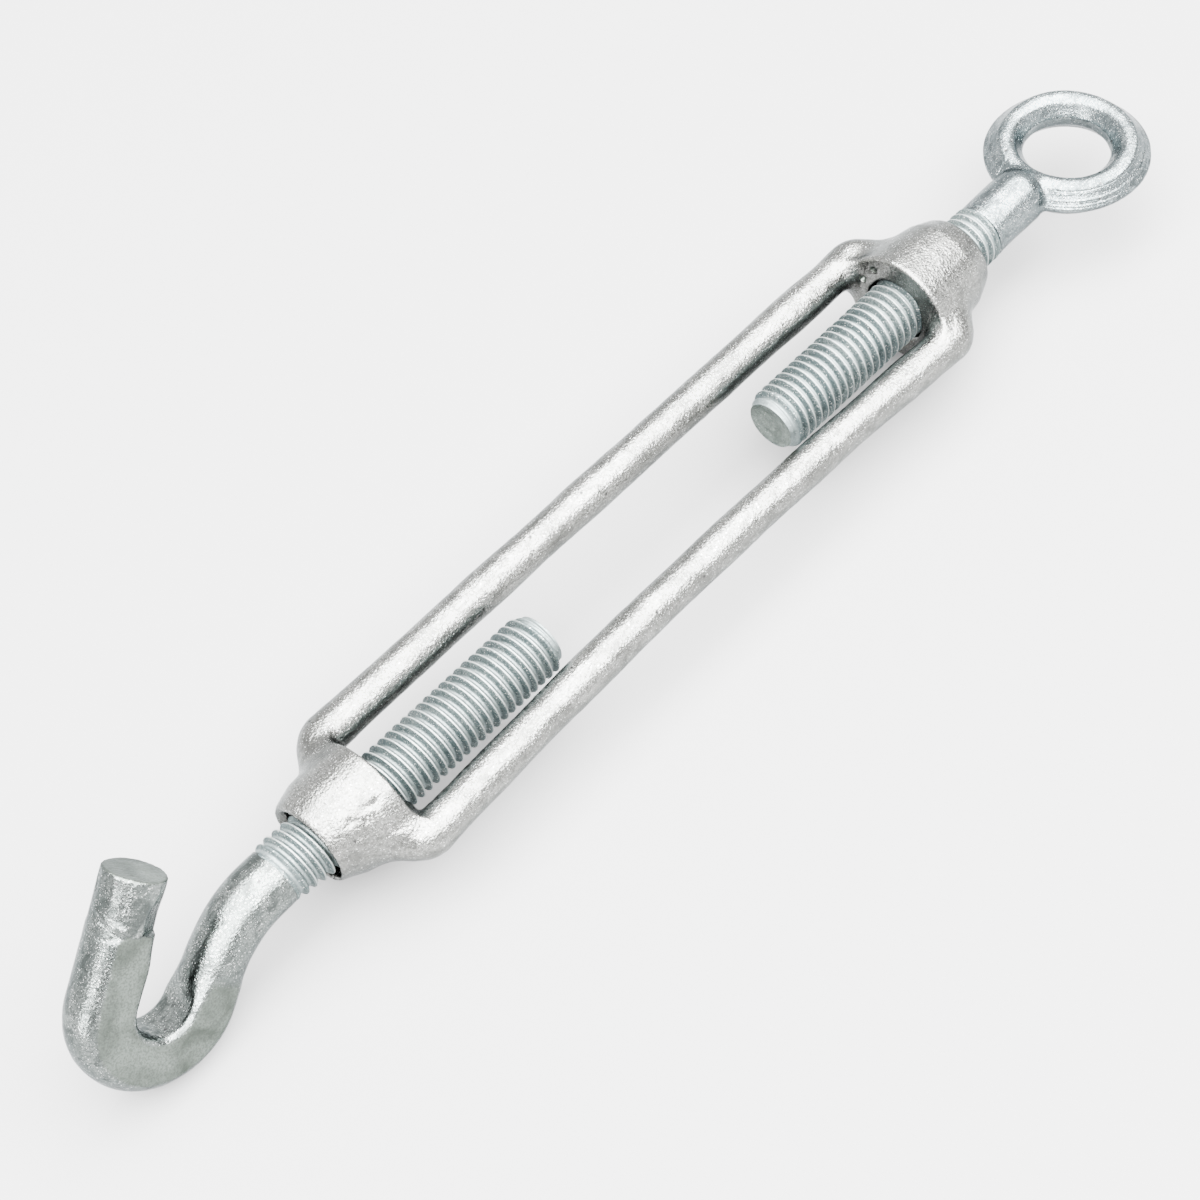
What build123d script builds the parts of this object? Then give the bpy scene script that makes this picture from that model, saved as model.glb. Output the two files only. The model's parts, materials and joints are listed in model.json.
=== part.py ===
"""Open-body hook-and-eye turnbuckle for M10 screws, about 223 mm long as it lies here.

X runs along the screw axis, with the eye at +X and the hook at -X, and Z along the eye's hole.
The origin is the centre of the cast body, on the screw axis. All sizes are in millimetres.
"""
from build123d import *
from math import copysign, cos, radians, sin
import os

os.makedirs("parts", exist_ok=True)

# Screw thread of both bolts: metric coarse, right-hand on the hook and left-hand on the eye
thread_diameter = 10.0
thread_pitch = 1.5
thread_depth = 0.61 * thread_pitch
crest_flat = thread_pitch / 8
root_flat = thread_pitch / 4
screw_clearance = 0.05  # radial gap between the thread crests and the body's bores

# Body casting
body_length = 140.0
hook_boss_length = 12.0
eye_boss_length = 15.0
boss_face_radius = 7.3
boss_inner_radius = 9.6
boss_edge_round = 0.9
bore_countersink = 1.1
rod_radius = 3.0
rod_spacing = 22.3  # between the rods' centrelines
shoulder_reach = 62.2  # from the body's centre to the outside of the rods' shoulders
window_radius = 8.0  # round space kept clear between the inner faces of the bosses
body_turn = 7.0  # of the rods' plane about the screw axis, away from the eye's plane

# Hook bolt
hook_tip_x = -24.7  # inner end of the screw
hook_thread_end_x = -75.2
hook_bar_radius = 4.4
hook_turn = 72.0  # of the hook's plane about the screw axis, away from the eye's plane
bowl_x = -98.6  # centre of the bowl, on the screw axis
bowl_radius = 8.2  # of the bar's centreline
bowl_wrap_angle = 174.0
neck_bend_radius = 18.0
neck_bend_angle = 38.0
tip_limb_length = 17.0
hook_flat_thickness = 7.8  # across the two forged flats beside the bowl
hook_flat_reach = 13.0  # of the flats from the bowl's centre
hook_end_chamfer = 0.5

# Eye bolt
eye_tip_x = 25.3  # inner end of the screw
eye_thread_end_x = 77.4
eye_neck_radius = 4.6
eye_neck_overlap = 4.7  # how far the neck's rounded end runs in over the ring
eye_neck_end_round = 3.4
eye_x = 98.4  # centre of the eye
eye_outer_radius = 13.3
eye_rim_height = 1.0
eye_crest_radius = 10.0
eye_thickness = 6.2
eye_crest_round = 1.5
eye_hole_radius = 7.0
eye_land_height = 2.4


def thread_profile(tip_x, end_x):
    """Half section of a threaded bar: a row of thread ridges from its tip to its thread end."""
    outward = copysign(1, end_x - tip_x)
    crest_radius = thread_diameter / 2
    root_radius = crest_radius - thread_depth
    flank = (thread_pitch - crest_flat - root_flat) / 2
    ridge_count = int(abs(end_x - tip_x) / thread_pitch)
    points = [(tip_x, 0), (tip_x, root_radius)]
    for ridge in range(ridge_count):
        ridge_x = tip_x + outward * (ridge * thread_pitch + root_flat)
        points.append((ridge_x, root_radius))
        points.append((ridge_x + outward * flank, crest_radius))
        points.append((ridge_x + outward * (flank + crest_flat), crest_radius))
        points.append((ridge_x + outward * (2 * flank + crest_flat), root_radius))
    points.append((end_x, root_radius))
    points.append((end_x, 0))
    return points


def boss_profile(outer_x, inner_x):
    """Half section of a boss from its outer face to its inner face, open along the bore."""
    inward = copysign(1, inner_x - outer_x)
    mouth_radius = bore_radius + bore_countersink
    return [
        (outer_x + inward * bore_countersink, bore_radius),
        (outer_x, mouth_radius),
        (outer_x, boss_face_radius),
        (inner_x, boss_inner_radius),
        (inner_x, mouth_radius),
        (inner_x - inward * bore_countersink, bore_radius),
    ]


# Body casting: a bored boss at each end and two rods with rounded shoulders
body_plane = Plane.XY.rotated((body_turn, 0, 0))
half_body = body_length / 2
bore_radius = thread_diameter / 2 + screw_clearance
shoulder_x = shoulder_reach - rod_radius
hook_boss_inner_x = hook_boss_length - half_body
eye_boss_inner_x = half_body - eye_boss_length
with BuildPart() as body_frame:
    for outer_x, inner_x in ((-half_body, hook_boss_inner_x), (half_body, eye_boss_inner_x)):
        with BuildSketch(Plane.XY) as boss_section:
            with BuildLine():
                Polyline(*boss_profile(outer_x, inner_x), close=True)
            make_face()
            fillet(boss_section.vertices().sort_by(Axis.Y)[-2:], boss_edge_round)
        revolve(axis=Axis.X)
    with BuildSketch(Plane(origin=(0, 0, 0), x_dir=body_plane.y_dir, z_dir=(1, 0, 0))):
        with GridLocations(rod_spacing, 0, 2, 1):
            Circle(rod_radius)
    extrude(amount=shoulder_x, both=True)
    for shoulder in (-shoulder_x, shoulder_x):
        with BuildSketch(Plane(origin=(shoulder, 0, 0), x_dir=(1, 0, 0), z_dir=body_plane.y_dir)):
            Circle(rod_radius)
        extrude(amount=rod_spacing / 2, both=True)
        for side in (-1, 1):
            with Locations(body_plane.from_local_coords((shoulder, side * rod_spacing / 2, 0))):
                Sphere(rod_radius)
    with BuildSketch(Plane.YZ):
        Circle(bore_radius)
    extrude(amount=half_body, both=True, mode=Mode.SUBTRACT)
    with BuildSketch(Plane.YZ.offset(hook_boss_inner_x)):
        Circle(window_radius)
    extrude(amount=eye_boss_inner_x - hook_boss_inner_x, mode=Mode.SUBTRACT)
body_frame.part.label = "body_frame"
export_step(body_frame.part, "parts/body_frame.step")

# Hook bolt: in the hook's plane, distances run outwards from the body's centre and up to the tip
hook_plane = Plane(
    origin=(0, 0, 0),
    x_dir=(-1, 0, 0),
    z_dir=(0, sin(radians(hook_turn)), -cos(radians(hook_turn))),
)
bend_sine = sin(radians(neck_bend_angle))
bend_cosine = cos(radians(neck_bend_angle))
neck_drop = neck_bend_radius * (1 - bend_cosine)
lower_limb_length = (bowl_radius * bend_cosine - neck_drop) / bend_sine
lower_limb_end = (-bowl_x - bowl_radius * bend_sine, -bowl_radius * bend_cosine)
lower_limb_start = (lower_limb_end[0] - lower_limb_length * bend_cosine, -neck_drop)
neck_start = (lower_limb_start[0] - neck_bend_radius * bend_sine, 0)
bowl_end_angle = bowl_wrap_angle - neck_bend_angle - 90
tip_limb_direction = radians(bowl_end_angle + 90)
tip_limb_start = (
    -bowl_x + bowl_radius * cos(radians(bowl_end_angle)),
    bowl_radius * sin(radians(bowl_end_angle)),
)
tip_limb_end = (
    tip_limb_start[0] + tip_limb_length * cos(tip_limb_direction),
    tip_limb_start[1] + tip_limb_length * sin(tip_limb_direction),
)
with BuildPart() as hook_bolt:
    with BuildSketch(Plane(origin=(hook_thread_end_x, 0, 0), z_dir=(-1, 0, 0))):
        Circle(hook_bar_radius)
    with BuildLine(hook_plane) as hook_bar:
        Line((-hook_thread_end_x, 0), neck_start)
        CenterArc((neck_start[0], -neck_bend_radius), neck_bend_radius, 90, -neck_bend_angle)
        Line(lower_limb_start, lower_limb_end)
        CenterArc((-bowl_x, 0), bowl_radius, -90 - neck_bend_angle, bowl_wrap_angle)
        Line(tip_limb_start, tip_limb_end)
    sweep(path=hook_bar.wire())
    chamfer(hook_bolt.faces().sort_by(Axis.Z)[-1].edges(), hook_end_chamfer)
    for outward in (-1, 1):
        with BuildSketch(hook_plane.offset(outward * hook_flat_thickness / 2)):
            with Locations((-bowl_x, 0)):
                Circle(hook_flat_reach)
        extrude(amount=outward * hook_bar_radius, mode=Mode.SUBTRACT)
    with BuildSketch(Plane.XY):
        with BuildLine():
            Polyline(*thread_profile(hook_tip_x, hook_thread_end_x), close=True)
        make_face()
    revolve(axis=Axis.X)
hook_bolt.part.label = "hook_bolt"
export_step(hook_bolt.part, "parts/hook_bolt.step")

# Eye bolt: a ring with a crest on both sides, and a neck whose rounded end runs in over it
neck_end_x = eye_x - eye_outer_radius + eye_neck_overlap
with BuildPart() as eye_bolt:
    with BuildSketch(Plane.XZ) as ring_section:
        with BuildLine():
            Polyline(
                (eye_x + eye_hole_radius, -eye_land_height / 2),
                (eye_x + eye_hole_radius, eye_land_height / 2),
                (eye_x + eye_crest_radius, eye_thickness / 2),
                (eye_x + eye_outer_radius, eye_rim_height / 2),
                (eye_x + eye_outer_radius, -eye_rim_height / 2),
                (eye_x + eye_crest_radius, -eye_thickness / 2),
                close=True,
            )
        make_face()
        heights = ring_section.vertices().group_by(Axis.Y)
        fillet(heights[0] + heights[-1], eye_crest_round)
    revolve(axis=Axis((eye_x, 0, 0), (0, 0, 1)))
    with BuildSketch(Plane.XY) as neck_section:
        with BuildLine():
            Polyline(
                (eye_thread_end_x, 0),
                (eye_thread_end_x, eye_neck_radius),
                (neck_end_x, eye_neck_radius),
                (neck_end_x, 0),
                close=True,
            )
        make_face()
        fillet(neck_section.vertices().group_by(Axis.Y)[-1].sort_by(Axis.X)[-1], eye_neck_end_round)
    revolve(axis=Axis.X)
    with BuildSketch(Plane.XY):
        with BuildLine():
            Polyline(*thread_profile(eye_tip_x, eye_thread_end_x), close=True)
        make_face()
    revolve(axis=Axis.X)
eye_bolt.part.label = "eye_bolt"
export_step(eye_bolt.part, "parts/eye_bolt.step")
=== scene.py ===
"""Zinc-plated hook-and-eye turnbuckle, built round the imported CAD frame.

The three CAD nodes are replaced by five detailed meshes: the cast body, with blended shoulders and a
casting's unevenness, and for each bolt its forged end and its screw, with a true helical thread. Shapes are
worked out in millimetres and written in metres. The body and the forged ends are distance fields turned
into meshes, and the threads are grids that follow the helix.
"""
import json
import math
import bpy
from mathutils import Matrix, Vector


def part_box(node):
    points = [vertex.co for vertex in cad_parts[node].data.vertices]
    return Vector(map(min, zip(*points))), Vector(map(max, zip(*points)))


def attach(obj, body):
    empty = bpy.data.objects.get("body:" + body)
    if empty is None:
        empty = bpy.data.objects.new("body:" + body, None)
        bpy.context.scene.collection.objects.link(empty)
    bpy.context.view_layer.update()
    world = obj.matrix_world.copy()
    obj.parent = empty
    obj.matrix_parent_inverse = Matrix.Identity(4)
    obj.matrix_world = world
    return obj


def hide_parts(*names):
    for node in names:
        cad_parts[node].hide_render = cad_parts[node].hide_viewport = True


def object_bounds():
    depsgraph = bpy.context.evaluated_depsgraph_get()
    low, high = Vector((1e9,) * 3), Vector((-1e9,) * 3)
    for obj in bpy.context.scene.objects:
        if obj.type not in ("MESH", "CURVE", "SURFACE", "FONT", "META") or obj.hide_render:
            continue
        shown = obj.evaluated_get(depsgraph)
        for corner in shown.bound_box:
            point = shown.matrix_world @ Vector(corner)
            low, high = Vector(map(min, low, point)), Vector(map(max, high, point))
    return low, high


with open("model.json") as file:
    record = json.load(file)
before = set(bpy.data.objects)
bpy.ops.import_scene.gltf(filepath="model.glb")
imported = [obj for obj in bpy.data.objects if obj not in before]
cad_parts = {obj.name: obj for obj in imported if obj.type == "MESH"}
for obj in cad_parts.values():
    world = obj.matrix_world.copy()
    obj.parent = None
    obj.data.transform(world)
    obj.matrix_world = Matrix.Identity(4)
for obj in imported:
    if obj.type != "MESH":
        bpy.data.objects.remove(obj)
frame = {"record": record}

from types import SimpleNamespace

import bmesh
import bpy
import numpy as np
from mathutils import Quaternion, Vector

MM = 0.001
cad_low, cad_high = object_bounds()
mounts = {mount["name"]: mount for mount in frame["record"]["mounts"]}


def node_box(node):
    """Lowest and highest corner of a CAD node, in millimetres."""
    low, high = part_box(node)
    return np.array(low) / MM, np.array(high) / MM


body_low, body_high = node_box("body_frame")
hook_low, hook_high = node_box("hook_bolt")
eye_low, eye_high = node_box("eye_bolt")

# Screw threads: metric coarse, right-hand on the hook (+1) and left-hand on the eye (-1). They start from a
# bevelled tip, stand a little lower near their end and run out there into the neck.
THREAD_RADIUS = 5.0
THREAD_PITCH = 1.5
THREAD_DEPTH = 0.92
THREAD_ROOT = THREAD_RADIUS - THREAD_DEPTH
HOOK_HAND = 1
EYE_HAND = -1
THREAD_PHASES = np.array(
    [0, 0.08, 0.14, 0.22, 0.30, 0.37, 0.42, 0.46, 0.5, 0.54, 0.58, 0.63, 0.70, 0.78, 0.86, 0.92])
AROUND = 96
TIP_RADIUS = THREAD_ROOT - 0.1
TIP_RINGS = 12
BEVEL_START, BEVEL_SLOPE = 0.3, 0.8
CREST_LOSS = 0.25
LOSS_START, LOSS_FULL = 12, 3
RUN_OUT_PITCHES = 1.4
NECK_SINK = 0.15
PLAIN_CREST = 0.4
TIP_MATTE = 0.8

# Cast body
BODY_TURN = math.radians(7.0)
HALF_BODY = body_high[0]
HOOK_BOSS_LENGTH = 12.0
EYE_BOSS_LENGTH = 15.0
BORE_RADIUS = 5.3
ROD_RADIUS = 3.0
ROD_SPACING = 22.3
SHOULDER_X = 59.2
SHOULDER_BEND = 3.0
SHOULDER_SWELL = 0.25
SWELL_FROM_X, SWELL_TO_X = 50, 58
NEAR_SHOULDER_SHIFT = 1.2
SHIFT_FROM_X, SHIFT_TO_X = 42, 58
ROD_SAG = 2.45
ROD_ARCH = 0.78
SAG_REACH = 75.0
SIDE_EASING = 5
BOSS_FILLET = 3.0
BOSS_FACE_EASING = 0.5
BORE_EASING = 0.3
CAST_CELL = 0.38

# Outlines turned about the screw axis: how deep in from the body's end, and how far from the axis
BOSS_ROUNDING = 1.7
BOSS_OUTLINE = [(1.7, -1), (1.7, 5.2), (4.5, 6.3), (9.0, 7.1), (20.0, 8.7), (20.0, -1)]
MOUTH_OUTLINE = [(-2, -1), (-2, 8.4), (1.7, 4.9), (1.7, -1)]

# Marks of casting: pits (centre, radius) in the inner face of the eye's boss, and where the rough patch low
# on the hook's boss starts, is full, begins to fade and ends, along the axis and in degrees around it
EYE_BOSS_PITS = [((54.95, 6.8, 1.9), 0.5), ((54.95, 5.3, 5.2), 0.5)]
ROUGH_PATCH_X = (58.5, 60.5, 65.5, 67.5)
ROUGH_PATCH_TURN = (112, 128, 158, 172)
ROUGH_PATCH_DEPTH = 0.16
PIT_EASING = 0.15

# Unevenness, as depth, wavelength and seed of each ripple
CAST_RIPPLES = [(0.07, 16.0, 3), (0.014, 3.2, 4), (0.010, 1.6, 5)]
FORGED_RIPPLES = [(0.05, 11.0, 8), (0.010, 2.5, 9)]

# The hook end stands a little off the screw axis: the bolt and the boss's mouth lean up and to the far side
LEAN = np.array([0.0, 0.82, 0.57])
LEAN_PEAK_X = -76.0
LEAN_START_X = -60.0
LEAN_END_X = -94.0
BOLT_LEAN = 0.9
MOUTH_LEAN = 0.9
MOUTH_LEAN_Y, MOUTH_LEAN_Z = 0.88, 0.476
SCREWED_HOME = 4.5

# Hook bolt
HOOK_TIP_X = hook_high[0]
HOOK_THREAD_END_X = -76.4
HOOK_TURN = math.radians(72.0)
HOOK_BAR_RADIUS = 4.4
BOWL_X = mounts["hook_bowl"]["pos_m"][0] / MM
BOWL_RADIUS = 8.2
BOWL_WRAP = math.radians(174.0)
NECK_BEND_RADIUS = 18.0
NECK_BEND = math.radians(38.0)
TIP_LIMB_LENGTH = 18.0
HOOK_FLAT_THICKNESS = 7.8
LOWER_FLAT_LENGTH = 4.2
TIP_FLAT_LENGTH = 10.5
FLAT_SWELL = 0.1
FLAT_EDGE = 0.25
BOX_EDGE = 1.3
BOX_SINK = 0.45
FACET_TURN = math.radians(55)
FACET_DEPTH = 0.75
FACET_MIDDLE, FACET_HALF_LENGTH, FACET_FADE = 14.0, 3.6, 5
SHEARED_EDGE = 0.3
HOOK_OVERLAP = 0.6
FORGED_CELL = 0.32

# Over which lengths the flats and the boxed section fade in, on the lower limb and on the tip limb
FLATS_FADE = ((-0.9, 0.9), (-0.4, 0.4))
BOX_FADE = ((0, 4.5), (0, 6))

# Dent lines across the tip limb: how far along it each starts, and how far it runs along it per radian
HOOK_CREASES = [(11.9, -1.3), (9.2, 0.9), (10.2, 0.4)]
CREASE_TURN = (-0.3, 0.1, 1.0, 1.4)
CREASE_WIDTH = 0.4
CREASE_DEPTH = 0.16
RIDGE_HEIGHT = 0.10
RIDGE_OFFSET = 0.7

# Lines that the shears drew near the tip
SHEAR_LINES = 17
SHEAR_DEPTH = 0.09
SHEAR_REACH, SHEAR_FADE = 5.5, 4

# The centreline of the hook's bar in the hook's own plane, as pairs of out from the body and up
NECK_SINE, NECK_COSINE = math.sin(NECK_BEND), math.cos(NECK_BEND)
LOWER_DIRECTION = np.array([NECK_COSINE, -NECK_SINE])
LOWER_LENGTH = (BOWL_RADIUS * NECK_COSINE - NECK_BEND_RADIUS * (1 - NECK_COSINE)) / NECK_SINE
LOWER_END = np.array([-BOWL_X - BOWL_RADIUS * NECK_SINE, -BOWL_RADIUS * NECK_COSINE])
LOWER_START = LOWER_END - LOWER_LENGTH * LOWER_DIRECTION
NECK_BEND_START = np.array([LOWER_START[0] - NECK_BEND_RADIUS * NECK_SINE, 0])
NECK_CENTRE = np.array([NECK_BEND_START[0], -NECK_BEND_RADIUS])
NECK_START = np.array([-HOOK_THREAD_END_X - 2, 0])
BOWL_CENTRE = np.array([-BOWL_X, 0])
BOWL_END = BOWL_WRAP - NECK_BEND - math.pi / 2
TIP_DIRECTION = np.array([-math.sin(BOWL_END), math.cos(BOWL_END)])
TIP_START = BOWL_CENTRE + BOWL_RADIUS * np.array([math.cos(BOWL_END), math.sin(BOWL_END)])

# Eye bolt
EYE_TIP_X = eye_low[0]
EYE_THREAD_END_X = 77.4
EYE_X = mounts["eye_hole"]["pos_m"][0] / MM
EYE_HOLE_RADIUS = mounts["eye_hole"]["dims"]["r_mm"]
EYE_OUTER_RADIUS = eye_high[0] - EYE_X
EYE_NECK_RADIUS = 4.6
EYE_CREST = 3.1
CREST_EASING = 1.3
RIM_EASING = 0.3
NECK_OVERLAP = 4.7
NECK_FILLET = 1.0
SKIRT_FILLET = 0.9
FORGING_LINES = (10.4, 11.0, 12.7, 13.1)

# Stands for no surface near by, in a distance field
FAR = 1e3
SETTLING_STEPS = 3
LEAST_SLOPE = 0.2


# Distance fields: each takes an array of points, in millimetres, and is negative inside the shape

def turned_about_x(points, angle):
    """The points as seen from a frame that is turned about the screw axis by angle."""
    x, y, z = points.T
    c, s = math.cos(angle), math.sin(angle)
    return np.stack([x, c * y + s * z, c * z - s * y], axis=1)


def section_distance(across, up, corners):
    """Signed distance to a closed outline given by its corners."""
    corners = np.array(corners, float)
    nearest = np.full(across.shape, np.inf)
    inside = np.zeros(across.shape, bool)
    for (x0, y0), (x1, y1) in zip(corners, np.roll(corners, -1, axis=0)):
        edge_x, edge_y = x1 - x0, y1 - y0
        along = ((across - x0) * edge_x + (up - y0) * edge_y) / (edge_x**2 + edge_y**2)
        along = np.clip(along, 0, 1)
        gap = np.hypot(across - x0 - along * edge_x, up - y0 - along * edge_y)
        nearest = np.minimum(nearest, gap)
        if y0 != y1:
            crosses = (up < y0) != (up < y1)
            inside ^= crosses & (across < x0 + (up - y0) * edge_x / edge_y)
    return np.where(inside, -nearest, nearest)


def blended(first, second, width):
    """Union of two fields with a fillet of about that width between them."""
    mix = np.clip(0.5 + 0.5 * (second - first) / width, 0, 1)
    return second * (1 - mix) + first * mix - width * mix * (1 - mix)


def cut(field, tool, width):
    """The field without the tool, with its new edge eased by that width."""
    return -blended(-field, tool, width)


def capsule(points, start, end, radius):
    """A round-ended bar between two points."""
    start, end = np.array(start, float), np.array(end, float)
    axis = end - start
    along = np.clip((points - start) @ axis / (axis @ axis), 0, 1)
    return np.linalg.norm(points - start - along[:, None] * axis, axis=1) - radius


def ripple(points, wavelength, seed, waves=14):
    """Smooth uneven relief between about -1 and 1, the same on each run."""
    chance = np.random.default_rng(seed)
    directions = chance.normal(size=(waves, 3))
    directions /= np.linalg.norm(directions, axis=1)[:, None]
    rates = 2 * math.pi / (wavelength * chance.uniform(0.7, 1.5, waves))
    phases = chance.uniform(0, 2 * math.pi, waves)
    return np.sin(points @ (directions * rates[:, None]).T + phases).sum(axis=1) / math.sqrt(waves)


def ripples(points, layers):
    """Ripples of several depths, wavelengths and seeds together, in millimetres."""
    return sum(depth * ripple(points, wavelength, seed) for depth, wavelength, seed in layers)


def eased(value, low, high):
    """0 below low and 1 above high, with a smooth rise between."""
    share = np.clip((value - low) / (high - low), 0, 1)
    return share * share * (3 - 2 * share)


def window(value, start, full, fade, end):
    """1 between full and fade, 0 outside start and end, with smooth flanks."""
    return eased(value, start, full) * (1 - eased(value, fade, end))


def lean(x):
    """How far the hook end stands off the screw axis at x, as a vector for each x."""
    rise = eased(-x, -LEAN_START_X, -LEAN_PEAK_X) * (1 - eased(-x, -LEAN_PEAK_X, -LEAN_END_X))
    return BOLT_LEAN * rise[..., None] * LEAN


def net_points(grid, values):
    """A point for each grid cell that the zero surface crosses, and its index for each cell, or -1."""
    solid = values < 0
    cells = tuple(count - 1 for count in values.shape)
    total = np.zeros(cells + (3,))
    crossings = np.zeros(cells)
    for axis in range(3):
        for offset in np.ndindex(2, 2):
            near = [slice(o, o + c) for o, c in zip(np.insert(offset, axis, 0), cells)]
            far = [slice(o, o + c) for o, c in zip(np.insert(offset, axis, 1), cells)]
            near, far = tuple(near), tuple(far)
            change = solid[near] != solid[far]
            span = np.where(change, values[near] - values[far], 1)
            share = np.where(change, values[near] / span, 0)[..., None]
            point = grid[near] * (1 - share) + grid[far] * share
            total += np.where(change[..., None], point, 0)
            crossings += change
    active = crossings > 0
    index = np.full(cells, -1)
    index[active] = np.arange(active.sum())
    return total[active] / crossings[active][:, None], index


def net_faces(values, index):
    """The quads that join the points round each grid edge that the zero surface crosses."""
    solid = values < 0
    cells = index.shape
    faces = []
    for axis in range(3):
        near = [slice(1, c) for c in cells]
        near[axis] = slice(0, cells[axis])
        far = list(near)
        far[axis] = slice(1, cells[axis] + 1)
        near, far = tuple(near), tuple(far)
        edges = np.argwhere(solid[near] != solid[far])
        inward = solid[near][tuple(edges.T)]
        corner = edges + np.array([0 if a == axis else 1 for a in range(3)])
        first, second = np.eye(3, dtype=int)[(axis + 1) % 3], np.eye(3, dtype=int)[(axis + 2) % 3]
        ring = [corner - first - second, corner - second, corner, corner - first]
        quads = np.stack([index[tuple(c.T)] for c in ring], axis=1)
        quads[~inward] = quads[~inward][:, ::-1]
        faces.append(quads)
    return np.concatenate(faces).tolist()


def settled(points, field, relief, cell):
    """The points moved along the field's slope, until they stand out from its zero surface by relief."""
    nudge = cell * 0.05
    for _ in range(SETTLING_STEPS):
        level = field(points) - relief(points)
        slope = np.stack([field(points + nudge * e) - field(points - nudge * e) for e in np.eye(3)], axis=1)
        slope /= 2 * nudge
        step = level[:, None] * slope / np.maximum((slope**2).sum(axis=1), LEAST_SLOPE)[:, None]
        points = points - np.clip(step, -0.5 * cell, 0.5 * cell)
    return points


def skinned(name, field, relief, low, high, cell):
    """A mesh of the field's zero surface between two corners, moved out by relief."""
    steps = [np.arange(a, b + cell, cell) for a, b in zip(low, high)]
    grid = np.stack(np.meshgrid(*steps, indexing="ij"), axis=-1)
    values = field(grid.reshape(-1, 3)).reshape(grid.shape[:3])
    points, index = net_points(grid, values)
    return mesh_data(name, settled(points, field, relief, cell), net_faces(values, index))


def mesh_data(name, points, faces):
    """A smooth-shaded mesh from points in millimetres."""
    mesh = bpy.data.meshes.new(name)
    mesh.from_pydata((np.asarray(points) * MM).tolist(), [], faces)
    mesh.validate()
    mesh.shade_smooth()
    return mesh


def mark(mesh, name, values):
    """Keeps a value for each point of a mesh, for its material to read."""
    mesh.attributes.new(name, "FLOAT", "POINT").data.foreach_set("value", values.astype(np.float32))


def mesh_points(mesh):
    """The points of a mesh, in millimetres."""
    return np.array([vertex.co for vertex in mesh.vertices]) / MM


def rod_frame(x, y, z):
    """The two rods and the arms that join them inside the bosses, as one bar round a rounded rectangle."""
    sag = 1 - (x / SAG_REACH) ** 2
    near, far = eased(-y, 0, SIDE_EASING), eased(y, 0, SIDE_EASING)
    across = y - ROD_SAG * sag * near
    rise = z - ROD_ARCH * sag * (near + far)
    along = x + NEAR_SHOULDER_SHIFT * near * eased(x, SHIFT_FROM_X, SHIFT_TO_X)
    reach_x = np.abs(along) - SHOULDER_X + SHOULDER_BEND
    reach_y = np.abs(across) - ROD_SPACING / 2 + SHOULDER_BEND
    outside = np.hypot(np.maximum(reach_x, 0), np.maximum(reach_y, 0))
    line = np.abs(outside + np.minimum(np.maximum(reach_x, reach_y), 0) - SHOULDER_BEND)
    swell = SHOULDER_SWELL * eased(np.abs(x), SWELL_FROM_X, SWELL_TO_X)
    return np.hypot(line, rise) - ROD_RADIUS - swell


def body_field(points):
    """The casting: two tapered bosses and two rods, filleted together, with the bores and pits cut."""
    p = turned_about_x(points, BODY_TURN)
    x, y, z = p.T
    shape = rod_frame(x, y, z)
    for end, length in ((-1, HOOK_BOSS_LENGTH), (1, EYE_BOSS_LENGTH)):
        depth = HALF_BODY - end * x
        leaning = MOUTH_LEAN if end < 0 else 0
        lean_here = leaning * eased(HOOK_BOSS_LENGTH - depth, 0, HOOK_BOSS_LENGTH)
        from_axis = np.hypot(y - MOUTH_LEAN_Y * lean_here, z - MOUTH_LEAN_Z * lean_here)
        boss = section_distance(depth, from_axis, BOSS_OUTLINE) - BOSS_ROUNDING
        boss = cut(boss, length - depth, BOSS_FACE_EASING)
        shape = blended(shape, boss, BOSS_FILLET)
        mouth = section_distance(depth, from_axis, MOUTH_OUTLINE)
        shape = cut(shape, np.where(end * x > 0, mouth, FAR), BORE_EASING)
    shape = cut(shape, bore_field(x, y, z), BORE_EASING)
    for centre, size in EYE_BOSS_PITS:
        shape = cut(shape, np.linalg.norm(p - np.array(centre), axis=1) - size, PIT_EASING)
    return shape


def bore_field(x, y, z):
    """The bore, drawn out towards the hook's mouth to clear the leaning bolt when it is screwed home."""
    _, lean_y, lean_z = turned_about_x(lean(x - SCREWED_HOME), BODY_TURN).T
    reach = np.hypot(lean_y, lean_z) + 1e-6
    share = np.clip((y * lean_y + z * lean_z) / reach**2, 0, 1)
    return np.hypot(y - share * lean_y, z - share * lean_z) - BORE_RADIUS


def cast_relief(points):
    """The casting's unevenness, with a rough patch where the mould broke away low on the hook's boss."""
    x, y, z = points.T
    angle = np.degrees(np.arctan2(z, y))
    patch = window(-x, *ROUGH_PATCH_X) * window(angle, *ROUGH_PATCH_TURN)
    broken = np.maximum(ripple(points, 1.5, 22) + 0.5 * ripple(points, 3.5, 23) - 0.15, 0)
    return ripples(points, CAST_RIPPLES) - ROUGH_PATCH_DEPTH * patch * broken


def pit_shade_share(points):
    """2 inside the pits, 0 away from them; over 1 the pits are painted near black as painted shade."""
    p = turned_about_x(points, BODY_TURN)
    share = np.zeros(len(p))
    for centre, size in EYE_BOSS_PITS:
        gap = np.linalg.norm(p - np.array(centre), axis=1)
        share = np.maximum(share, 2 - 2 * eased(gap, size, size + 0.2))
    return share


def off_line(flat, start, end):
    """Distance from a straight run of the centreline, and which side of it each point lies on."""
    axis = end - start
    along = np.clip((flat - start) @ axis / (axis @ axis), 0, 1)
    gap = flat - start - along[:, None] * axis
    return np.linalg.norm(gap, axis=1), np.sign(gap @ np.array([axis[1], -axis[0]]))


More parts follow.
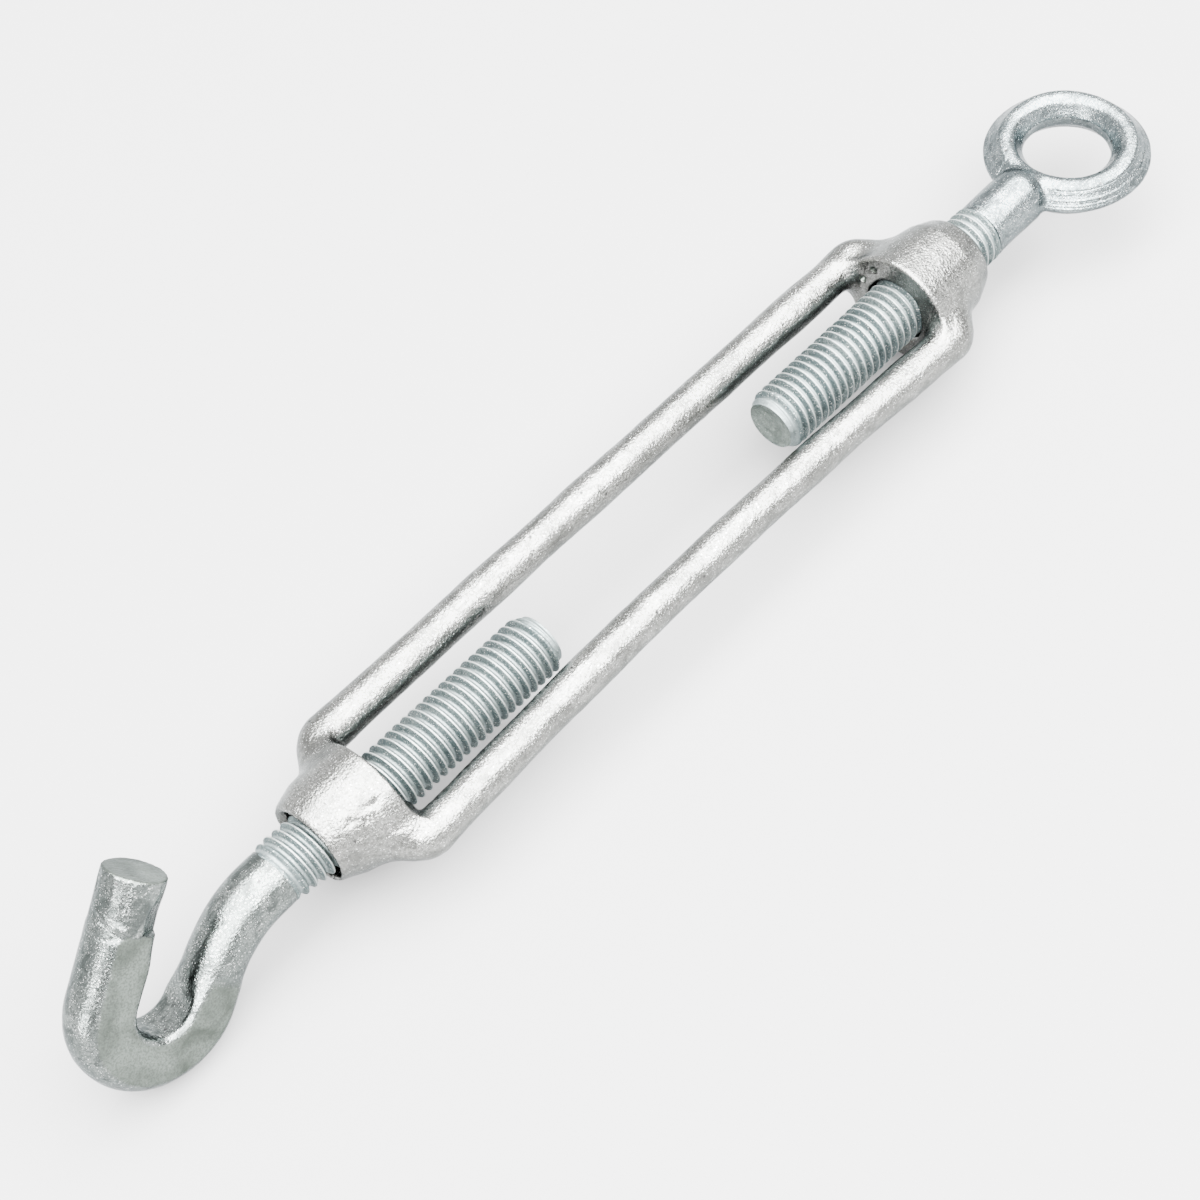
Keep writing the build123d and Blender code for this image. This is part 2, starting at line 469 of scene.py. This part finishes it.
def off_arc(flat, centre, radius, middle, half_angle):
    """Distance from an arc of the centreline, and which side of it each point lies on."""
    offset = flat - centre
    angle = np.arctan2(offset[:, 1], offset[:, 0]) - middle
    angle = np.clip((angle + math.pi) % (2 * math.pi) - math.pi, -half_angle, half_angle)
    on_arc = radius * np.stack([np.cos(angle + middle), np.sin(angle + middle)], axis=1)
    return np.linalg.norm(offset - on_arc, axis=1), np.sign(np.hypot(*offset.T) - radius)


def hook_place(points):
    """Where each point lies against the hook's bar. Its fields are the distance from the centreline in the
    hook's plane, the same signed outwards from the bowl, the distance out of that plane, the depth below
    the sheared tip, the shares of the flats and of the boxed inner half, and whether it is by the tip."""
    p = turned_about_x(points - lean(points[:, 0]), HOOK_TURN)
    flat = np.stack([-p[:, 0], p[:, 1]], axis=1)
    parts = [
        off_line(flat, NECK_START, NECK_BEND_START),
        off_arc(flat, NECK_CENTRE, NECK_BEND_RADIUS, math.pi / 2 - NECK_BEND / 2, NECK_BEND / 2),
        off_line(flat, LOWER_START, LOWER_END),
        off_arc(flat, BOWL_CENTRE, BOWL_RADIUS, BOWL_END - BOWL_WRAP / 2, BOWL_WRAP / 2),
        off_line(flat, TIP_START, TIP_START + (TIP_LIMB_LENGTH + 4) * TIP_DIRECTION),
    ]
    gaps = np.array([gap for gap, _ in parts])
    nearest = gaps.argmin(axis=0)
    in_plane = gaps.min(axis=0)
    towards = np.array([1, -1, 1, 1, 1])[nearest]
    signs = np.array([sign for _, sign in parts])[nearest, np.arange(len(flat))]
    tip_depth = TIP_LIMB_LENGTH - (flat - TIP_START) @ TIP_DIRECTION
    before_bowl = (LOWER_END - flat) @ LOWER_DIRECTION
    past_bowl = TIP_LIMB_LENGTH - tip_depth

    def share(lower, tip):
        """A share that is given on the lower and the tip limb, and is whole round the bowl."""
        on_lower = eased(LOWER_FLAT_LENGTH - before_bowl, *lower)
        on_tip = eased(TIP_FLAT_LENGTH - past_bowl, *tip)
        return np.where(nearest <= 2, on_lower, np.where(nearest == 4, on_tip, 1.0))

    return SimpleNamespace(
        in_plane=in_plane, outward=in_plane * towards * signs, side=p[:, 2], tip_depth=tip_depth,
        flats=share(*FLATS_FADE), boxed=share(*BOX_FADE), by_tip=flat[:, 1] > BOWL_RADIUS,
    )


def hook_field(points):
    """The forged hook: a round bar, pressed flat on each side of the bowl, with a facet and a sheared tip."""
    at = hook_place(points)
    bar = np.hypot(at.in_plane, at.side) - HOOK_BAR_RADIUS
    half_flat = HOOK_FLAT_THICKNESS / 2
    outer_half = cut(bar - FLAT_SWELL, half_flat - np.abs(at.side), FLAT_EDGE)
    over_in = np.abs(at.outward) - (HOOK_BAR_RADIUS - BOX_SINK - BOX_EDGE)
    over_side = np.abs(at.side) - (half_flat - BOX_EDGE)
    corner = np.hypot(np.maximum(over_in, 0), np.maximum(over_side, 0))
    inner_half = corner + np.minimum(np.maximum(over_in, over_side), 0) - BOX_EDGE
    inner_half = inner_half * at.boxed + outer_half * (1 - at.boxed)
    forged = np.where(at.outward > 0, outer_half, inner_half)
    shape = forged * at.flats + bar * (1 - at.flats)
    along = TIP_LIMB_LENGTH - at.tip_depth
    facet_height = at.side * math.sin(FACET_TURN) - at.outward * math.cos(FACET_TURN)
    facet_depth = FACET_DEPTH * eased(FACET_MIDDLE + FACET_HALF_LENGTH - along, 0, FACET_FADE)
    facet_side = HOOK_BAR_RADIUS - facet_depth - facet_height
    facet = np.maximum(facet_side, np.abs(along - FACET_MIDDLE) - FACET_HALF_LENGTH)
    shape = cut(shape, np.where(at.by_tip, facet, FAR), FLAT_EDGE)
    shape = cut(shape, np.where(at.by_tip, at.tip_depth, FAR), SHEARED_EDGE)
    return np.maximum(shape, points[:, 0] - HOOK_THREAD_END_X - HOOK_OVERLAP)


def hook_flat_share(points):
    """1 on the flats pressed beside the bowl and on the sheared tip, 0 elsewhere."""
    at = hook_place(points)
    half_flat = HOOK_FLAT_THICKNESS / 2
    on_flat = eased(np.abs(at.side), half_flat - 0.22, half_flat - 0.08) * at.flats
    on_tip = eased(-at.tip_depth, -0.25, -0.1) * at.by_tip
    return np.maximum(on_flat, on_tip)


def forged_relief(points):
    """The unevenness of the forged ends."""
    return ripples(points, FORGED_RIPPLES)


def hook_relief(points):
    """The hook's unevenness, with the lines drawn by the shears near its tip and the dents across it."""
    at = hook_place(points)
    around = np.arctan2(at.side, at.outward)
    near_tip = eased(SHEAR_REACH - at.tip_depth, 0, SHEAR_FADE) * at.by_tip * eased(at.tip_depth, 0.1, 0.6)
    drawn = np.sin(SHEAR_LINES * around + 1.3 * ripple(points, 6.0, 15)) * np.sin(5 * around)
    relief = forged_relief(points) + SHEAR_DEPTH * near_tip * drawn
    on_outside = window(around, *CREASE_TURN) * at.by_tip
    for place, slant in HOOK_CREASES:
        across = TIP_LIMB_LENGTH - at.tip_depth - place - slant * around
        ridge = RIDGE_HEIGHT * np.exp(-((across - RIDGE_OFFSET) / CREASE_WIDTH) ** 2)
        dent = CREASE_DEPTH * np.exp(-((across / CREASE_WIDTH) ** 2))
        relief = relief + on_outside * (ridge - dent)
    return relief


def eye_field(points):
    """The forged eye: a ring with a rounded crest on each side, and the neck running in over it."""
    x, y, z = points.T
    ring_radius = np.hypot(x - EYE_X, y)
    inside = EYE_HOLE_RADIUS + CREST_EASING
    core_outline = [
        (inside, -0.3), (inside, 0.3), (9.4, EYE_CREST - CREST_EASING), (10.2, EYE_CREST - CREST_EASING),
        (11.0, 0.6), (11.0, -0.6), (10.2, CREST_EASING - EYE_CREST), (9.4, CREST_EASING - EYE_CREST),
    ]
    core = section_distance(ring_radius, z, core_outline) - CREST_EASING
    rim_edge = EYE_OUTER_RADIUS - RIM_EASING
    skirt_outline = [(9.8, 2.3), (rim_edge, 0.15), (rim_edge, -0.15), (9.8, -2.3)]
    skirt = section_distance(ring_radius, z, skirt_outline) - RIM_EASING
    ring = blended(core, skirt, SKIRT_FILLET)
    neck_end = EYE_X - EYE_OUTER_RADIUS + NECK_OVERLAP - EYE_NECK_RADIUS
    neck = capsule(points, (EYE_THREAD_END_X - 6, 0, 0), (neck_end, 0, 0), EYE_NECK_RADIUS)
    neck = np.maximum(neck, EYE_THREAD_END_X - 2 - x)
    return blended(ring, neck, NECK_FILLET)


def eye_line_share(points):
    """1 on the outer slope of the ring, where forging lines run round it, except beside the neck."""
    x, y, _ = points.T
    beside_neck = (x > EYE_X) | (np.abs(y) > EYE_NECK_RADIUS + 0.4)
    return window(np.hypot(x - EYE_X, y), *FORGING_LINES) * beside_neck


def thread_crest(phase):
    """How far up the thread is over one pitch: 0 at the root, 1 on the crest, which is at a half."""
    flank = np.clip((0.5 - np.abs(phase % 1 - 0.5) - 0.10) / 0.33, 0, 1)
    return 0.3 * flank * flank * (3 - 2 * flank) + 0.7 * flank


def thread_grid(tip_x, end_x, hand, neck_radius):
    """Points, faces and crest shares of a thread, as one column of points for each step round the helix."""
    samples = len(THREAD_PHASES)
    outward = 1 if end_x > tip_x else -1
    length = abs(end_x - tip_x)
    columns = (math.ceil(length / THREAD_PITCH) + 1) * AROUND
    column, sample = np.meshgrid(np.arange(columns + AROUND), np.arange(samples), indexing="ij")
    phase = THREAD_PHASES[sample]
    depth = np.clip((column / AROUND - 1 + phase) * THREAD_PITCH, 0, length)
    full = THREAD_RADIUS - CREST_LOSS * eased(depth, length - LOSS_START, length - LOSS_FULL)
    radius = THREAD_ROOT + (full - THREAD_ROOT) * thread_crest(phase)
    radius = np.minimum(radius, TIP_RADIUS + BEVEL_SLOPE * np.maximum(depth - BEVEL_START, 0))
    kept = np.clip((length - depth) / (RUN_OUT_PITCHES * THREAD_PITCH), 0, 1)
    radius = radius * kept + (neck_radius - NECK_SINK) * (1 - kept)
    angle = outward * hand * column * 2 * math.pi / AROUND
    radius = radius + 0.02 * np.sin(5 * angle + depth) + 0.015 * np.sin(3 * angle - 1.7 * depth)
    x = tip_x + outward * depth
    points = np.stack([x, radius * np.cos(angle), radius * np.sin(angle)], axis=-1).reshape(-1, 3)
    here = np.arange(columns * samples).reshape(columns, samples)[:-1]
    beside = np.where(np.arange(samples) < samples - 1, here + 1, here + 1 + (AROUND - 1) * samples)
    quads = np.stack([here, here + samples, beside + samples, beside], axis=-1).reshape(-1, 4)
    faded = thread_crest(phase) * np.clip((length - depth) / 3, 0, 1) * np.clip(depth - 1, 0, 1)
    crest = PLAIN_CREST + (faded - PLAIN_CREST) * np.clip(length - depth, 0, 1)
    return points, quads[:, ::hand].tolist(), crest.reshape(-1)


def sheared_tip(tip_x, outward, hand, base):
    """Points and faces of a screw's rough, slightly dished end, as rings numbered from base."""
    share, turn = np.meshgrid(1 - np.arange(TIP_RINGS) / TIP_RINGS, np.arange(AROUND), indexing="ij")
    turn = outward * hand * turn * 2 * math.pi / AROUND
    rough = np.sin(3 * turn + 9 * share) * 0.08 + np.sin(2 * turn - 14 * share) * 0.09
    dish = 0.35 * (1 - share**6) + rough * (1 - share**8)
    rings = [tip_x + outward * dish, TIP_RADIUS * share * np.cos(turn), TIP_RADIUS * share * np.sin(turn)]
    faces = []
    for ring in range(TIP_RINGS - 1):
        first = base + ring * AROUND + np.arange(AROUND)
        following = base + ring * AROUND + (np.arange(AROUND) + 1) % AROUND
        band = np.stack([first, first + AROUND, following + AROUND, following], axis=1)
        faces += band[:, ::hand].tolist()
    faces.append((base + (TIP_RINGS - 1) * AROUND + np.arange(AROUND))[::hand].tolist())
    return np.stack(rings, axis=-1).reshape(-1, 3), faces


def screw(name, tip_x, end_x, hand, neck_radius):
    """A threaded bar, from a sheared tip to a thread that runs out into the neck."""
    points, faces, crest = thread_grid(tip_x, end_x, hand, neck_radius)
    tip_points, tip_faces = sheared_tip(tip_x, 1 if end_x > tip_x else -1, hand, len(points))
    crest = np.concatenate([crest, np.full(len(tip_points), PLAIN_CREST)])
    matte = np.concatenate([np.zeros(len(points)), np.full(len(tip_points), TIP_MATTE)])
    points = np.concatenate([points, tip_points])
    mesh = mesh_data(name, points + lean(points[:, 0]), faces + tip_faces)
    mark(mesh, "crest", crest)
    mark(mesh, "matte", matte)
    work = bmesh.new()
    work.from_mesh(mesh)
    bmesh.ops.remove_doubles(work, verts=work.verts, dist=0.01 * MM)
    bmesh.ops.recalc_face_normals(work, faces=work.faces)
    work.to_mesh(mesh)
    work.free()
    mesh.shade_smooth()
    return mesh


# Materials

# White for the specks, and for painted glints
SPECK_AND_GLINT_WHITE = (0.80, 0.81, 0.80)
# Painted shade for the small pits
PIT_SHADE_TONE = (0.05, 0.05, 0.05)
# Painted shade, near black, for the pits cut into the eye's boss
BOSS_PIT_SHADE = (0.004, 0.004, 0.004)
# Painted light that lifts the shade in the thread roots
ROOT_FILL_LIGHT = (0.17, 0.20, 0.20)
MATTE_TONES = ((0.045, 0.053, 0.045), (0.115, 0.132, 0.118))
MATTE_SPECKLE = (0.04, 0.045, 0.04)
GRAZING_TINT = (0.62, 0.64, 0.65, 1)

# Sizes of the plate's marks, in millimetres
CLOUD_SIZE = 6.0
GLINT_SIZE, GLINT_SPACING = 1.7, 0.62
PIT_SPACING, PIT_DEPTH = 3.2, 0.05
LINE_SPACING, LINE_DEPTH = 0.5, 0.14
STAIN_STRETCH = 0.45
MATTE_ROUGHNESS = 0.16

# tones are the dark and light colours; grain and relief are the size and the depth of the texture in
# millimetres, stains the share of dull patches, crest the colour of a painted highlight along the thread
# crests
CAST_LOOK = {
    "tones": ((0.13, 0.132, 0.125), (0.215, 0.216, 0.206)), "roughness": (0.08, 0.20),
    "grain": 0.36, "relief": 0.11, "stains": 0.5,
}
HOOK_LOOK = {
    "tones": ((0.08, 0.092, 0.088), (0.16, 0.174, 0.167)), "roughness": (0.12, 0.26),
    "grain": 0.34, "relief": 0.065, "stains": 0.8,
}
EYE_LOOK = {
    "tones": ((0.09, 0.108, 0.112), (0.165, 0.188, 0.192)), "roughness": (0.14, 0.28),
    "grain": 0.34, "relief": 0.06, "stains": 0.8, "ring_x": EYE_X,
}
THREAD_LOOK = {
    "tones": ((0.068, 0.09, 0.092), (0.118, 0.142, 0.139)), "roughness": (0.46, 0.62),
    "grain": 0.35, "relief": 0.07, "stains": 0.5, "crest": (0.26, 0.28, 0.275),
}


class Shading:
    """One material and short ways to make its nodes, which all work from the piece's own coordinates."""

    def __init__(self, name):
        self.material = bpy.data.materials.new(name)
        self.material.use_nodes = True
        self.nodes, self.links = self.material.node_tree.nodes, self.material.node_tree.links
        self.shader = self.nodes["Principled BSDF"]
        self.place = self.nodes.new("ShaderNodeTexCoord").outputs["Object"]

    def noise(self, size, detail, distortion=0.0, along=1.0):
        """Cloudy noise of a size in millimetres, drawn out along the screw axis where along is below 1."""
        node = self.nodes.new("ShaderNodeTexNoise")
        node.inputs["Scale"].default_value = 1 / (size * MM)
        node.inputs["Detail"].default_value = detail
        node.inputs["Distortion"].default_value = distortion
        stretch = self.nodes.new("ShaderNodeMapping")
        stretch.inputs["Scale"].default_value = (along, 1, 1)
        self.links.new(self.place, stretch.inputs["Vector"])
        self.links.new(stretch.outputs["Vector"], node.inputs["Vector"])
        return node.outputs["Fac"]

    def spots(self, size):
        """Distance from the nearest of many scattered points, that lie about size millimetres apart."""
        node = self.nodes.new("ShaderNodeTexVoronoi")
        node.inputs["Scale"].default_value = 1 / (size * MM)
        self.links.new(self.place, node.inputs["Vector"])
        return node.outputs["Distance"]

    def marked(self, name):
        """The value that mark() kept for each point."""
        node = self.nodes.new("ShaderNodeAttribute")
        node.attribute_name = name
        return node.outputs["Fac"]

    def spread(self, value, low, high, to_low, to_high):
        """The value moved from one range to another, and held there."""
        node = self.nodes.new("ShaderNodeMapRange")
        node.inputs["From Min"].default_value = low
        node.inputs["From Max"].default_value = high
        node.inputs["To Min"].default_value = to_low
        node.inputs["To Max"].default_value = to_high
        self.links.new(value, node.inputs["Value"])
        return node.outputs["Result"]

    def mixed(self, amount, under, over):
        """Two colours, or sockets that give them, mixed by an amount."""
        node = self.nodes.new("ShaderNodeMix")
        node.data_type = "RGBA"
        self.links.new(amount, node.inputs["Factor"])
        for socket, value in (("A", under), ("B", over)):
            if isinstance(value, tuple):
                node.inputs[socket].default_value = (*value, 1)
            else:
                self.links.new(value, node.inputs[socket])
        return node.outputs["Result"]

    def scaled_and_added(self, value, factor, added):
        """value * factor + added."""
        node = self.nodes.new("ShaderNodeMath")
        node.operation = "MULTIPLY_ADD"
        self.links.new(value, node.inputs[0])
        node.inputs[1].default_value = factor
        self.links.new(added, node.inputs[2])
        return node.outputs["Value"]

    def bump(self, height, depth, normal=None):
        """Relief of a depth in millimetres, on top of an earlier one."""
        node = self.nodes.new("ShaderNodeBump")
        node.inputs["Distance"].default_value = depth * MM
        self.links.new(height, node.inputs["Height"])
        if normal:
            self.links.new(normal, node.inputs["Normal"])
        return node.outputs["Normal"]


def scaled_tone(tone, factor):
    """A colour made darker by a factor."""
    return tuple(factor * part for part in tone)


def plate_colour(shading, look, smear, pits):
    """Colour of zinc plate: clouds, dark speckle, white specks, stains and matte flats, with painted shade in
    the pits, painted glints, and on threads a painted highlight on the crests and painted light in the roots.
    """
    dark, light = look["tones"]
    cloud = shading.spread(shading.noise(CLOUD_SIZE, 5, 0.8), 0.36, 0.64, 0, 1)
    speckle = shading.noise(look["grain"] * 0.9, 3)
    specks = shading.noise(look["grain"] * 0.6, 1)
    matte = shading.marked("matte")
    colour = shading.mixed(cloud, dark, light)
    colour = shading.mixed(shading.spread(speckle, 0.48, 0.58, 0.0, 0.8), colour, scaled_tone(dark, 0.72))
    colour = shading.mixed(shading.spread(specks, 0.66, 0.72, 0.0, 0.8), colour, SPECK_AND_GLINT_WHITE)
    stained = shading.spread(smear, 0.50, 0.64, 0, look["stains"])
    colour = shading.mixed(stained, colour, scaled_tone(dark, 0.45))
    # Painted shade: each small pit is painted near black.
    colour = shading.mixed(shading.spread(pits, 0.05, 0.09, 1, 0), colour, PIT_SHADE_TONE)
    matte_colour = shading.mixed(cloud, *MATTE_TONES)
    matte_colour = shading.mixed(shading.spread(speckle, 0.45, 0.60, 0.0, 0.5), matte_colour, MATTE_SPECKLE)
    colour = shading.mixed(shading.spread(matte, 0, 1, 0, 0.95), colour, matte_colour)
    # Painted shade: where the mark is over 1, in the cut pits, the colour goes near black.
    colour = shading.mixed(shading.spread(matte, 1, 2, 0, 1), colour, BOSS_PIT_SHADE)
    # Painted glints: scattered white dots that stand in for sparkles of light on the plate.
    painted_glints = shading.scaled_and_added(shading.noise(GLINT_SIZE, 3), 0.9, shading.spots(GLINT_SPACING))
    colour = shading.mixed(shading.spread(painted_glints, 0.28, 0.40, 0.7, 0), colour, SPECK_AND_GLINT_WHITE)
    if "crest" in look:
        crest = shading.marked("crest")
        # Painted highlight: a thin light line along each thread crest.
        colour = shading.mixed(shading.spread(crest, 0.97, 1.0, 0, 1), colour, look["crest"])
        # Painted light: the roots are painted lighter, to lift the shade between the flanks.
        colour = shading.mixed(shading.spread(crest, 0.0, 0.25, 0.7, 0), colour, ROOT_FILL_LIGHT)
    return colour


def ring_lines(shading, normal, ring_x):
    """Fine forging lines that run round a ring, where the piece is marked for them."""
    from_centre = shading.nodes.new("ShaderNodeVectorMath")
    from_centre.operation = "MULTIPLY_ADD"
    from_centre.inputs[1].default_value = (1, 1, 0)
    from_centre.inputs[2].default_value = (-ring_x * MM, 0, 0)
    shading.links.new(shading.place, from_centre.inputs[0])
    span = shading.nodes.new("ShaderNodeVectorMath")
    span.operation = "LENGTH"
    shading.links.new(from_centre.outputs["Vector"], span.inputs[0])
    lines = shading.nodes.new("ShaderNodeTexNoise")
    lines.noise_dimensions = "1D"
    lines.inputs["Scale"].default_value = 1 / (LINE_SPACING * MM)
    lines.inputs["Detail"].default_value = 2
    shading.links.new(span.outputs["Value"], lines.inputs["W"])
    height = shading.nodes.new("ShaderNodeMath")
    height.operation = "MULTIPLY"
    shading.links.new(lines.outputs["Fac"], height.inputs[0])
    shading.links.new(shading.marked("lines"), height.inputs[1])
    return shading.bump(height.outputs["Value"], LINE_DEPTH, normal)


def plate_relief(shading, look, pits):
    """Relief of zinc plate: fine grain, a coarser one, forging lines round a ring, and pits."""
    grain, depth = look["grain"], look["relief"]
    normal = shading.bump(shading.noise(grain, 3), depth)
    normal = shading.bump(shading.noise(grain * 4, 2, 0.3), depth * 0.7, normal)
    if "ring_x" in look:
        normal = ring_lines(shading, normal, look["ring_x"])
    return shading.bump(shading.spread(pits, 0.04, 0.12, 0, 1), PIT_DEPTH, normal)


def zinc_plate(name, look):
    """Worn zinc plate with one of the looks above."""
    shading = Shading(name)
    shader = shading.shader
    shader.inputs["Metallic"].default_value = 1.0
    shader.inputs["Specular Tint"].default_value = GRAZING_TINT
    smear = shading.noise(look["grain"] * 5, 5, 1.2, STAIN_STRETCH)
    pits = shading.spots(PIT_SPACING)
    dull = shading.spread(smear, 0.3, 0.7, *look["roughness"])
    roughness = shading.scaled_and_added(shading.marked("matte"), MATTE_ROUGHNESS, dull)
    shading.links.new(plate_colour(shading, look, smear, pits), shader.inputs["Base Color"])
    shading.links.new(roughness, shader.inputs["Roughness"])
    shading.links.new(plate_relief(shading, look, pits), shader.inputs["Normal"])
    return shading.material


# Pieces

def piece(mesh, material, body, node):
    """Puts a mesh into the scene as a piece that stands for a CAD node."""
    made = bpy.data.objects.new(mesh.name, mesh)
    bpy.context.scene.collection.objects.link(made)
    mesh.materials.append(material)
    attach(made, body)
    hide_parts(node)


MARGIN = np.full(3, 1.2)
cast_zinc = zinc_plate("cast_zinc", CAST_LOOK)
forged_zinc = zinc_plate("forged_zinc", HOOK_LOOK)
eye_zinc = zinc_plate("eye_zinc", EYE_LOOK)
thread_zinc = zinc_plate("thread_zinc", THREAD_LOOK)


def add_body():
    """The casting."""
    mesh = skinned("body_casting", body_field, cast_relief, body_low - MARGIN, body_high + MARGIN, CAST_CELL)
    piece(mesh, cast_zinc, "body", "body_frame")
    # The pits are marked with 2, so that they are painted near black as painted shade.
    mark(mesh, "matte", pit_shade_share(mesh_points(mesh)))


def add_hook():
    """The hook bolt: its forged hook and its screw."""
    high = np.array([HOOK_THREAD_END_X + 2.5, hook_high[1] + 1, hook_high[2] + 1])
    mesh = skinned("hook_forging", hook_field, hook_relief, hook_low - MARGIN, high, FORGED_CELL)
    piece(mesh, forged_zinc, "hook", "hook_bolt")
    mark(mesh, "matte", hook_flat_share(mesh_points(mesh)))
    mesh = screw("hook_screw", HOOK_TIP_X, HOOK_THREAD_END_X, HOOK_HAND, HOOK_BAR_RADIUS)
    piece(mesh, thread_zinc, "hook", "hook_bolt")


def add_eye():
    """The eye bolt: its forged eye and its screw."""
    low = np.array([EYE_THREAD_END_X - 3, eye_low[1] - 1, eye_low[2] - 1])
    mesh = skinned("eye_forging", eye_field, forged_relief, low, eye_high + MARGIN, FORGED_CELL)
    piece(mesh, eye_zinc, "eye", "eye_bolt")
    mark(mesh, "lines", eye_line_share(mesh_points(mesh)))
    mesh = screw("eye_screw", EYE_TIP_X, EYE_THREAD_END_X, EYE_HAND, EYE_NECK_RADIUS)
    piece(mesh, thread_zinc, "eye", "eye_bolt")


add_body()
add_hook()
add_eye()


# Studio: floor, lights and the photograph's camera

FLOOR_HALF = 3.0
FLOOR_GAP = 0.0005
FLOOR_ALBEDO = 0.18
FLOOR_ROUGHNESS = 0.9

# Strength of the surroundings by the angle in degrees from straight up, towards -Y: even, but for a dark
# band with a brighter one below it. What the camera sees straight on is an even backdrop instead.
SURROUNDINGS = [(-180, 3.4), (42, 3.4), (48, 0.0), (63, 0.0), (68, 6.0), (100, 6.0), (112, 3.4), (180, 3.4)]
BACKDROP = 3.2

# The photograph's camera, with angles from +Y towards +X and down from the horizon
VIEW_AZIMUTH = math.radians(41.3)
VIEW_ELEVATION = math.radians(54.2)
VIEW_ROLL = math.radians(-7.45)
VIEW_DISTANCE = 0.3646
VIEW_AIM = Vector((-0.0120, 0.0009, -0.0052))
VIEW_LENS = 75.3
VIEW_SENSOR = 36.0


def area_light(name, place, aim, size, power):
    """A rectangular soft light at a place in metres, pointing at aim."""
    data = bpy.data.lights.new(name, "AREA")
    data.shape = "RECTANGLE"
    data.size, data.size_y = size
    data.energy = power
    light = bpy.data.objects.new(name, data)
    bpy.context.scene.collection.objects.link(light)
    light.location = place
    light.rotation_mode = "QUATERNION"
    light.rotation_quaternion = (Vector(aim) - Vector(place)).to_track_quat("-Z", "Y")


def add_floor():
    """A wide sheet of grey paper, just under the part."""
    mesh = bpy.data.meshes.new("floor")
    height = cad_low.z - FLOOR_GAP
    corners = [(-1, -1), (1, -1), (1, 1), (-1, 1)]
    mesh.from_pydata([(FLOOR_HALF * a, FLOOR_HALF * b, height) for a, b in corners], [], [(0, 1, 2, 3)])
    floor = bpy.data.objects.new("floor", mesh)
    bpy.context.scene.collection.objects.link(floor)
    paper = bpy.data.materials.new("floor_paper")
    paper.use_nodes = True
    shader = paper.node_tree.nodes["Principled BSDF"]
    shader.inputs["Base Color"].default_value = (FLOOR_ALBEDO, FLOOR_ALBEDO, FLOOR_ALBEDO, 1)
    shader.inputs["Roughness"].default_value = FLOOR_ROUGHNESS
    mesh.materials.append(paper)


def add_surroundings():
    """Light from all round, in bands by the angle from straight up, and the backdrop for the camera."""
    world = bpy.data.worlds.new("studio")
    bpy.context.scene.world = world
    world.use_nodes = True
    nodes, links = world.node_tree.nodes, world.node_tree.links
    split = nodes.new("ShaderNodeSeparateXYZ")
    links.new(nodes.new("ShaderNodeTexCoord").outputs["Generated"], split.inputs["Vector"])
    sideways = nodes.new("ShaderNodeMath")
    sideways.operation = "MULTIPLY"
    sideways.inputs[1].default_value = -1.0
    links.new(split.outputs["Y"], sideways.inputs[0])
    angle = nodes.new("ShaderNodeMath")
    angle.operation = "ARCTAN2"
    links.new(sideways.outputs["Value"], angle.inputs[0])
    links.new(split.outputs["Z"], angle.inputs[1])
    turn = nodes.new("ShaderNodeMapRange")
    turn.inputs["From Min"].default_value = -math.pi
    turn.inputs["From Max"].default_value = math.pi
    links.new(angle.outputs["Value"], turn.inputs["Value"])
    ramp = nodes.new("ShaderNodeValToRGB")
    ramp.color_ramp.interpolation = "EASE"
    links.new(turn.outputs["Result"], ramp.inputs["Fac"])
    elements = ramp.color_ramp.elements
    while len(elements) < len(SURROUNDINGS):
        elements.new(0.5)
    for element, (degrees, strength) in zip(elements, SURROUNDINGS):
        element.position = (degrees + 180) / 360
        element.color = (strength, strength, strength, 1)
    seen = nodes.new("ShaderNodeMix")
    seen.data_type = "RGBA"
    links.new(nodes.new("ShaderNodeLightPath").outputs["Is Camera Ray"], seen.inputs["Factor"])
    links.new(ramp.outputs["Color"], seen.inputs["A"])
    seen.inputs["B"].default_value = (BACKDROP, BACKDROP, BACKDROP, 1)
    links.new(seen.outputs["Result"], nodes["Background"].inputs["Color"])
    nodes["Background"].inputs["Strength"].default_value = 1.0


def add_camera():
    """The camera, where the photograph was taken from."""
    looking = Vector((
        math.cos(VIEW_ELEVATION) * math.sin(VIEW_AZIMUTH),
        math.cos(VIEW_ELEVATION) * math.cos(VIEW_AZIMUTH),
        -math.sin(VIEW_ELEVATION),
    ))
    data = bpy.data.cameras.new("camera")
    data.sensor_width = VIEW_SENSOR
    data.lens = VIEW_LENS
    data.clip_start = 0.01
    camera = bpy.data.objects.new("camera", data)
    bpy.context.scene.collection.objects.link(camera)
    camera.location = VIEW_AIM - looking * VIEW_DISTANCE
    camera.rotation_mode = "QUATERNION"
    camera.rotation_quaternion = looking.to_track_quat("-Z", "Y") @ Quaternion((0, 0, 1), VIEW_ROLL)
    bpy.context.scene.camera = camera


add_floor()
area_light("overhead", place=(0.0, -0.26, 0.80), aim=(0.0, -0.26, 0.0), size=(1.7, 1.5), power=400)
area_light("hook_side", place=(-1.3, -0.15, 0.38), aim=(-0.09, 0.0, 0.0), size=(0.35, 0.30), power=24)
add_surroundings()
add_camera()
